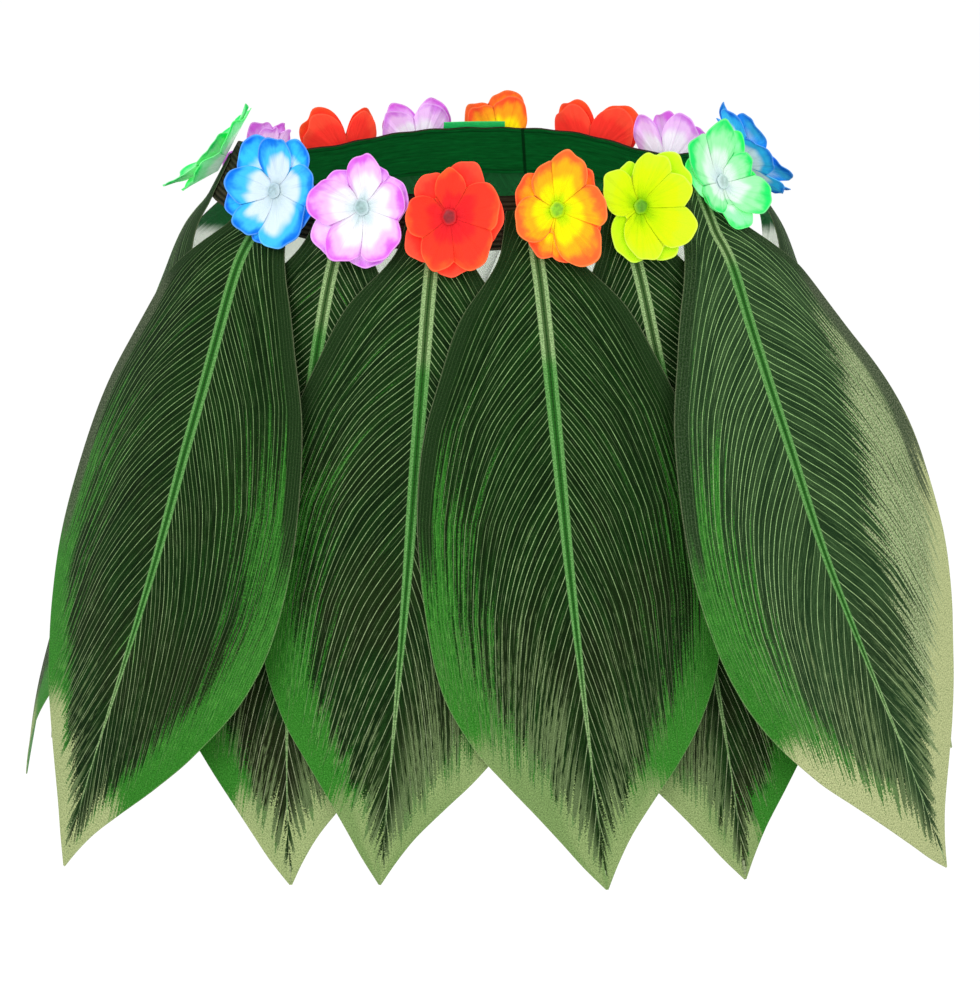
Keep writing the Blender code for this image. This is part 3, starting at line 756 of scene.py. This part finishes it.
leaf_reverse = reverse_of_leaf()
leaf_areas = read_table(LEAF_CUT, np.linspace(LEAF_TOP, LEAF_LENGTH, 200))
LEAF_AREA = float(leaf_areas.sum(axis=0).mean() * (LEAF_LENGTH - LEAF_TOP))
for number, (leaf, look) in enumerate(zip(LEAVES, PRINTS), start=1):
    name = f"leaf_{number:02d}"
    places, print_places = leaf_places(leaf, look, number)
    cloth = make_sheet(name + "_cloth", LEAF_COLUMNS, LEAF_ROWS)
    print_place = cloth.data.attributes.new("print_place", "FLOAT_VECTOR", "POINT")
    print_place.data.foreach_set("vector", print_places.astype(np.float32).ravel())
    cloth.data.materials.append(print_leaf(name + "_print", look, 11.0 * number))
    cloth.data.materials.append(leaf_reverse)
    lay_sheet(cloth, places, LEAF_WALL)
    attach(cloth, "root")
    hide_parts(name)
    (LEAF_LENGTH - LEAF_TOP) * leaf.size


# ---- Flowers ----
# One flower over the top of each leaf: two moulded cloth layers of five petals, dyed from a pale
# heart to coloured tips. A small plastic cap pinned through both layers and the leaf holds the
# flower to the band, so the petals are free to lean and ruffle.

FLOWER_UP = 0.004
FLOWER_WIDTH = 0.0500
FLOWER_HEIGHT = 0.0600
PETAL_STEPS = 28
PETAL_RINGS = 24
PETAL_HALF_ANGLE = 53
HEART_REACH = 0.42
HUB_SCALE = 0.30
BACK_RISE = 0.0070
FRONT_RISE = 0.0100
PETAL_WALL = 0.0004
VALLEY = 0.0013
FOLD = 0.00035
RUFFLE = 0.0009
SCALLOP = 0.022
HALF_BETWEEN_PETALS = 36
EYE_RADIUS = 0.0042
EYE_HEIGHT = 0.0015
EYE_SEGMENTS = 28
EYE_RINGS = 16

EVEN_PETALS = ((12, 1.00), (84, 0.94), (156, 1.03), (228, 0.96), (300, 1.02))
TURNED_PETALS = ((46, 1.00), (118, 0.94), (190, 0.96), (262, 0.96), (334, 1.02))

# Each petal is its direction clockwise from the top, in degrees, and its share of full reach. The
# petals stand out more towards one direction, by the share lean. up lifts the flower above its
# usual place on the band.
Flower = namedtuple("Flower", "colour bearing up lean towards front back")
FLOWERS = (
    Flower(
        "blue", -59.5, 0.0005, 0.9, 270,
        ((350, 0.90), (76, 1.08), (126, 1.28), (192, 0.90), (262, 0.86)),
        ((27, 1.02), (98, 1.20), (164, 0.96), (243, 0.98), (307, 1.06)),
    ),
    Flower(
        "pink", -34.5, 0.001, 0.6, 270,
        ((4, 0.90), (83, 1.00), (132, 1.16), (194, 1.02), (272, 0.98)),
        ((30, 0.82), (76, 1.04), (156, 1.12), (223, 1.08), (304, 0.84)),
    ),
    Flower(
        "red", -10.0, -0.0015, 0.1, 270,
        ((3, 0.80), (78, 1.10), (134, 1.12), (196, 0.96), (268, 0.88)),
        ((30, 1.04), (92, 1.14), (170, 1.06), (230, 1.02), (319, 0.88)),
    ),
    Flower(
        "orange", 20.5, 0.0015, 0.3, 90,
        ((19, 1.00), (91, 0.96), (148, 1.12), (254, 0.98), (338, 0.84)),
        ((53, 0.92), (120, 0.94), (172, 0.92), (214, 0.92), (296, 0.94)),
    ),
    Flower(
        "lime", 43.5, -0.0005, 0.6, 90,
        ((26, 0.93), (76, 0.93), (132, 1.03), (197, 1.00), (300, 0.98)),
        ((58, 1.16), (110, 0.80), (163, 1.02), (219, 1.08), (340, 0.80)),
    ),
    Flower(
        "green", 68.5, -0.001, 0.9, 90,
        ((10, 1.00), (80, 0.70), (140, 0.92), (250, 0.80), (320, 1.10)),
        ((40, 0.96), (110, 0.76), (190, 0.92), (255, 0.76), (298, 1.02)),
    ),
    Flower("blue", 97.0, -0.001, 0.5, 200, EVEN_PETALS, TURNED_PETALS),
    Flower(
        "pink", 124.5, 0.001, 0.0, 0,
        ((8, 0.96), (80, 1.00), (150, 1.00), (220, 1.00), (300, 1.00)),
        ((54, 1.15), (126, 1.00), (196, 1.00), (262, 0.96), (322, 1.12)),
    ),
    Flower(
        "red", 148.5, -0.006, 0.0, 0,
        ((42, 1.14), (114, 0.95), (180, 0.98), (246, 0.96), (315, 1.22)),
        ((46, 1.12), (118, 0.95), (184, 0.98), (250, 0.96), (319, 1.18)),
    ),
    Flower(
        "orange", 174.5, -0.005, 0.0, 0,
        ((49, 1.04), (120, 0.96), (192, 1.00), (264, 0.80), (354, 1.06)),
        ((42, 1.00), (112, 0.94), (184, 1.00), (256, 0.80), (347, 1.02)),
    ),
    Flower(
        "pink", 200.5, -0.006, 0.0, 0,
        ((36, 1.00), (108, 0.95), (180, 0.98), (250, 0.95), (322, 1.06)),
        ((42, 0.98), (114, 0.95), (186, 0.98), (256, 0.95), (328, 1.02)),
    ),
    Flower(
        "red", 222.0, -0.002, 0.0, 0,
        ((44, 1.14), (115, 0.95), (180, 1.00), (246, 0.95), (309, 1.02)),
        ((48, 1.12), (119, 0.95), (184, 1.00), (250, 0.95), (313, 0.99)),
    ),
    Flower(
        "pink", 246.0, -0.003, 0.0, 0,
        ((34, 0.88), (100, 0.90), (170, 1.00), (250, 1.00), (336, 0.84)),
        ((20, 0.80), (86, 0.90), (156, 1.00), (236, 1.00), (322, 0.84)),
    ),
    Flower("green", 270.0, 0.001, 1.0, 175, EVEN_PETALS, TURNED_PETALS),
)

# The dyes of each flower, from its heart to its rim, those that show on its back layer's tips, and
# its cap's colour. reach is where on a petal the flush and the tip colour start.
Dye = namedtuple("Dye", "heart body flush tip rim reach")
DYES = {
    "blue": (
        Dye(
            (196, 216, 222), (214, 231, 241), (66, 190, 246), (10, 112, 224), (150, 216, 250),
            (0.64, 0.88),
        ),
        Dye(
            (196, 216, 222), (206, 234, 248), (50, 180, 242), (10, 92, 212), (130, 204, 250),
            (0.64, 0.90),
        ),
        (176, 202, 208),
    ),
    "pink": (
        Dye(
            (200, 222, 224), (236, 236, 243), (236, 186, 242), (216, 98, 224), (250, 224, 250),
            (0.64, 0.87),
        ),
        Dye(
            (200, 222, 224), (240, 230, 246), (232, 184, 240), (198, 104, 214), (246, 220, 250),
            (0.64, 0.90),
        ),
        (160, 192, 190),
    ),
    "red": (
        Dye(
            (226, 36, 44), (237, 42, 44), (246, 60, 42), (252, 90, 44), (255, 130, 88),
            (0.50, 0.92),
        ),
        Dye(
            (214, 32, 36), (240, 44, 40), (244, 52, 42), (246, 72, 50), (252, 112, 80),
            (0.42, 0.82),
        ),
        (150, 32, 40),
    ),
    "orange": (
        Dye(
            (190, 230, 10), (250, 234, 10), (253, 176, 28), (246, 104, 48), (255, 172, 104),
            (0.54, 0.82),
        ),
        Dye(
            (190, 230, 10), (254, 226, 16), (252, 152, 30), (243, 78, 40), (250, 150, 96),
            (0.62, 0.85),
        ),
        (140, 206, 30),
    ),
    "lime": (
        Dye(
            (150, 206, 4), (204, 236, 6), (214, 240, 14), (208, 236, 34), (226, 244, 116),
            (0.50, 0.80),
        ),
        Dye(
            (140, 196, 4), (176, 220, 8), (176, 220, 8), (186, 228, 26), (218, 242, 120),
            (0.50, 0.80),
        ),
        (96, 166, 14),
    ),
    "green": (
        Dye(
            (206, 226, 230), (222, 242, 230), (156, 240, 172), (34, 226, 104), (192, 248, 202),
            (0.56, 0.85),
        ),
        Dye(
            (206, 226, 230), (206, 244, 214), (140, 240, 164), (22, 224, 88), (150, 250, 160),
            (0.62, 0.90),
        ),
        (190, 216, 212),
    ),
}

# How much a layer glows with painted light in its own dye colours, standing in for the light that
# comes through it, and where its wavering starts.
LayerFinish = namedtuple("LayerFinish", "glow seed")
LAYER_FINISHES = {"front": LayerFinish(0.0, 5.0), "back": LayerFinish(0.28, 9.0)}


def flower_place(flower):
    """A flower's centre on the bell, and its directions sideways, up and out."""
    bearing, drop = np.array([radians(flower.bearing)]), np.array([-FLOWER_UP - flower.up])
    around, fall = (slope[0] for slope in bell_slopes(bearing, drop))
    outward, sideways = unit(np.cross(fall, around)), unit(around)
    return bell_point(bearing, drop)[0], sideways, np.cross(outward, sideways), outward


def petal_turns(petals):
    """The directions of a layer's columns, so that one falls on each petal's tip."""
    turns = []
    for (towards, _), (after, _) in zip(petals, petals[1:] + petals[:1]):
        turns += list(towards + (after - towards) % 360 * np.arange(PETAL_STEPS) / PETAL_STEPS)
    return np.array(turns + [petals[0][0] + 360.0])


def petal_outline(turns, petals):
    """How far the layer reaches in each direction, each point's petal, and how far aside in it."""
    reach = np.full(len(turns), HEART_REACH)
    petal, aside = np.zeros(len(turns)), np.ones(len(turns))
    for number, (towards, longest) in enumerate(petals):
        away = (turns - towards + 180) % 360 - 180
        rounded = np.sqrt(np.cos(np.clip(pi / 2 * away / PETAL_HALF_ANGLE, -pi / 2, pi / 2)))
        wins = longest * rounded > reach
        reach = np.where(wins, longest * rounded, reach)
        petal = np.where(wins, number, petal)
        aside = np.where(wins, away / PETAL_HALF_ANGLE, aside)
    return reach, petal, aside


def petal_places(flower, petals, rise, seat, seed):
    """Places of a layer's grid points, row by row out from its centre, and where each is on a petal."""
    centre, sideways, upward, outward = flower_place(flower)
    turns = petal_turns(petals)
    edge, petal, aside = petal_outline(turns, petals)
    angle = np.radians(turns)
    stand = 1 + flower.lean * np.cos(angle - radians(flower.towards))
    notched = np.clip(abs(aside) * PETAL_HALF_ANGLE / HALF_BETWEEN_PETALS, 0, 1)
    places, shares = [], []
    for row in range(PETAL_RINGS + 1):
        share = row / PETAL_RINGS
        waver = np.sin(7 * aside + 2.1 * petal + seed) + 0.5 * np.sin(15 * aside + seed)
        reach = edge * share * (1 + SCALLOP * share**2 * waver * (1 - notched**4))
        past_hub = np.maximum(0.0, reach - HUB_SCALE) / (1 - HUB_SCALE)
        free = np.clip(past_hub * 2.0, 0, 1)
        valley = VALLEY * (notched**2.5 - 0.25) * np.sin(pi * np.clip(reach / edge, 0, 1) ** 0.8)
        folds = np.sin(aside * 9 + petal * 1.3 + seed) + 0.6 * np.sin(aside * 21 + petal + seed)
        ruffle = np.sin(aside * 5.5 + petal * 2.4 + seed) + 0.5 * np.sin(aside * 12 + petal * 4 + seed)
        relief = FOLD * folds * (1 - notched**2) * share - valley + RUFFLE * ruffle * share**5
        height = rise * past_hub * stand + free * relief
        across = FLOWER_WIDTH / 2 * np.sin(angle) * reach
        up = FLOWER_HEIGHT / 2 * np.cos(angle) * reach
        out = np.maximum(height, 0.0) + seat + CLOTH / 2
        flat = np.outer(across, sideways) + np.outer(up, upward)
        places.append(centre + flat + np.outer(out, outward))
        shares.append(np.stack((np.full(len(turns), share), aside, petal), axis=-1))
    return np.array(places), np.array(shares)


def dye_petals(name, dye, seed, painted_glow):
    """Dyed cloth. It glows with painted light in its dye colours, standing in for the light that comes
    through it, and has painted shade in its creases and between its petals. The attribute petal_place
    holds how far out and aside a point is, and on which petal."""
    material, shade, sockets = new_material(name, 0.65, specular=0.05)
    out, aside, petal = parts_of(shade.attribute("petal_place", "Vector"))
    own = petal * 3.7 + shade.attribute("flower_number", "Fac") * 5.3 + seed
    wander = shade.noise(aside * 2.2 + own, out * 2.0, seed, 1.0)
    lopside = shade.noise(own * 3, own, seed + 1, 0.0) - 0.5
    cloud = shade.noise(aside * 5 + own, out * 6, seed + 3)
    patch = out + (wander - 0.5) * 0.34 - aside * aside * 0.30 + aside * lopside * 0.7
    flush_at, tip_at = dye.reach
    flush = patch.step(flush_at - 0.10, flush_at + 0.10)
    tip = (patch + (cloud - 0.5) * 0.22).step(tip_at - 0.11, tip_at + 0.11)
    heart = (out + (wander - 0.5) * 0.2).step(0.44, 0.14)
    rim = out.step(0.965, 0.99)
    creases = shade.noise(aside * 9 + own, out * 0.7, seed + 6, 1.0)
    crease_shade = creases.step(0.56, 0.70) * out.step(0.25, 0.60)
    valley = abs(aside).step(0.60, 0.75) * out.step(0.98, 0.70)
    dyed = shade.mix(heart, colour(*dye.body), colour(*dye.heart))
    dyed = shade.mix(flush, dyed, colour(*dye.flush))
    dyed = shade.mix(tip, dyed, colour(*dye.tip))
    # Painted shade: the creases, and the valleys where the petals meet, are darkened towards a deeper
    # tip colour.
    shadow = colour(*(channel * 0.72 for channel in dye.tip))
    dyed = shade.mix(crease_shade * 0.16 + valley * 0.12, dyed, shadow)
    dyed = shade.mix(rim * 0.30, dyed, colour(*dye.rim))
    # Painted light: the layer gives off its own dye colour as a glow, though it is no lamp.
    shade.tree.links.new(dyed.socket, sockets["Emission Color"])
    sockets["Emission Strength"].default_value = painted_glow
    finish_material(shade, sockets, dyed, creases + cloud * 0.25, 0.0007)
    return material


def cap_plastic(name, tint, ring):
    """Soft plastic, mottled, and turning to the ring colour at its foot, where it meets the cloth."""
    material, shade, sockets = new_material(name, 0.40, specular=0.25)
    place = shade.node("ShaderNodeTexCoord", {}, {}, "Object")
    cloud = shade.node("ShaderNodeTexNoise", {}, {"Vector": place, "Scale": 500.0, "Detail": 2.0})
    deeper = colour(*(channel * 0.85 for channel in tint))
    tinted = shade.mix(cloud.step(0.30, 0.70), deeper, colour(*tint))
    foot = shade.attribute("cap_out", "Fac").step(0.55, 1.0)
    faded = shade.mix(foot * 0.85, tinted, colour(*ring))
    finish_material(shade, sockets, faded, cloud, 0.0002)
    return material


def shape_cap(cap, flower, number):
    """Turns a ball into a low cap at a flower's centre, a little lobed, and dented in its middle."""
    centre, sideways, upward, outward = flower_place(flower)
    cap_out = cap.data.attributes.new("cap_out", "FLOAT", "POINT")
    for point, spread in zip(cap.data.vertices, cap_out.data):
        x, y, z = point.co
        turn = np.arctan2(y, x)
        spread.value = sqrt(x * x + y * y)
        lobes = 1 + 0.04 * cos(5 * turn + number) + 0.07 * cos(2 * turn + number)
        dent = 0.25 * max(0.0, 1 - (x * x + y * y) * 4) if z > 0 else 0.0
        height = eye_seat + EYE_HEIGHT * (max(z, 0.0) ** 1.5 - dent)
        flat = sideways * x * lobes * EYE_RADIUS + upward * y * lobes * EYE_RADIUS
        point.co = centre + flat + outward * height


back_seat = 2 * SEAM_GAP + CLOTH
front_seat = back_seat + CLOTH + SEAM_GAP
eye_seat = front_seat + CLOTH + SEAM_GAP
finishes = {}
for tone, (front_dye, back_dye, cap_tint) in DYES.items():
    for layer, dye in (("front", front_dye), ("back", back_dye)):
        painted_glow, seed = LAYER_FINISHES[layer]
        finishes[tone, layer] = dye_petals(f"petal_{tone}_{layer}", dye, seed, painted_glow)
    finishes[tone, "eye"] = cap_plastic(f"cap_{tone}", cap_tint, front_dye.heart)

for number, flower in enumerate(FLOWERS, start=1):
    name = f"flower_{number:02d}"
    for layer, petals, rise, seat in (
        ("back", flower.back, BACK_RISE, back_seat),
        ("front", flower.front, FRONT_RISE, front_seat),
    ):
        places, shares = petal_places(flower, petals, rise, seat, number * 1.7 + rise * 300)
        cloth = make_sheet(f"{name}_{layer}_petals", len(petals) * PETAL_STEPS, PETAL_RINGS)
        petal_place = cloth.data.attributes.new("petal_place", "FLOAT_VECTOR", "POINT")
        petal_place.data.foreach_set("vector", shares.astype(np.float32).ravel())
        flower_number = cloth.data.attributes.new("flower_number", "FLOAT", "POINT")
        flower_number.data.foreach_set("value", np.full(len(cloth.data.vertices), number, np.float32))
        cloth.data.materials.append(finishes[flower.colour, layer])
        lay_sheet(cloth, places, PETAL_WALL, closed=True)
        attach(cloth, "root")
        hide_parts(f"{name}_{layer}")
        "petal_" + flower.colour

    bpy.ops.object.select_all(action="DESELECT")
    bpy.ops.mesh.primitive_uv_sphere_add(segments=EYE_SEGMENTS, ring_count=EYE_RINGS, radius=1.0)
    cap = bpy.context.object
    cap.name = cap.data.name = name + "_eye_cap"
    shape_cap(cap, flower, number)
    bpy.ops.object.shade_smooth()
    cap.data.materials.append(finishes[flower.colour, "eye"])
    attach(cap, "root")
    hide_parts(name + "_eye")


# ---- Floor, light and camera ----
# A plain pale floor well below the hem, an even sky and two soft studio lamps in front. The camera
# looks slightly down into the open waist.

FLOOR_DROP = 0.95
FLOOR_SIZE = 60
FLOOR_WHITE = (0.97, 0.97, 0.97, 1.0)
SKY_WHITE = (1.0, 1.0, 1.0, 1.0)
SKY_STRENGTH = 1.03
LAMP_AIM_DROP = 0.15
bpy.ops.object.select_all(action="DESELECT")
bpy.ops.mesh.primitive_plane_add(size=FLOOR_SIZE, location=(0, 0, -FLOOR_DROP))
floor = bpy.context.object
floor.name = "studio_floor"
material, shade, sockets = new_material("floor_white", 0.9, specular=0.0)
sockets["Base Color"].default_value = FLOOR_WHITE
floor.data.materials.append(material)

world = bpy.context.scene.world or bpy.data.worlds.new("studio")
bpy.context.scene.world = world
world.use_nodes = True
sky = world.node_tree.nodes["Background"]
sky.inputs["Color"].default_value = SKY_WHITE
sky.inputs["Strength"].default_value = SKY_STRENGTH

Lamp = namedtuple("Lamp", "name place size watts")
for lamp in (
    Lamp("key_lamp", (-1.6, -2.6, 2.2), 1.6, 34.0),
    Lamp("fill_lamp", (2.2, -2.4, 1.0), 2.0, 12.0),
):
    light = bpy.data.lights.new(lamp.name, "AREA")
    light.size = lamp.size
    light.energy = lamp.watts
    holder = bpy.data.objects.new(lamp.name, light)
    bpy.context.scene.collection.objects.link(holder)
    holder.location = lamp.place
    aim = -holder.location
    aim.z -= LAMP_AIM_DROP
    holder.rotation_euler = aim.to_track_quat("-Z", "Y").to_euler()

bpy.context.scene.view_settings.view_transform = "Standard"

CAMERA_TARGET = (0.0027, 0.0, -0.171)
CAMERA_DISTANCE = 2.2
CAMERA_ELEVATION = radians(15.4)
PICTURE_LONG_SIDE = 981
FOCAL_LENGTH_IN_PIXELS = 4000
SENSOR = 36.0
view = bpy.data.cameras.new("camera")
view.sensor_width = SENSOR
view.lens = FOCAL_LENGTH_IN_PIXELS / PICTURE_LONG_SIDE * SENSOR
camera = bpy.data.objects.new("camera", view)
bpy.context.scene.collection.objects.link(camera)
camera.location = (
    CAMERA_TARGET[0],
    CAMERA_TARGET[1] - CAMERA_DISTANCE * cos(CAMERA_ELEVATION),
    CAMERA_TARGET[2] + CAMERA_DISTANCE * sin(CAMERA_ELEVATION),
)
camera.rotation_euler = (pi / 2 - CAMERA_ELEVATION, 0.0, 0.0)
bpy.context.scene.camera = camera
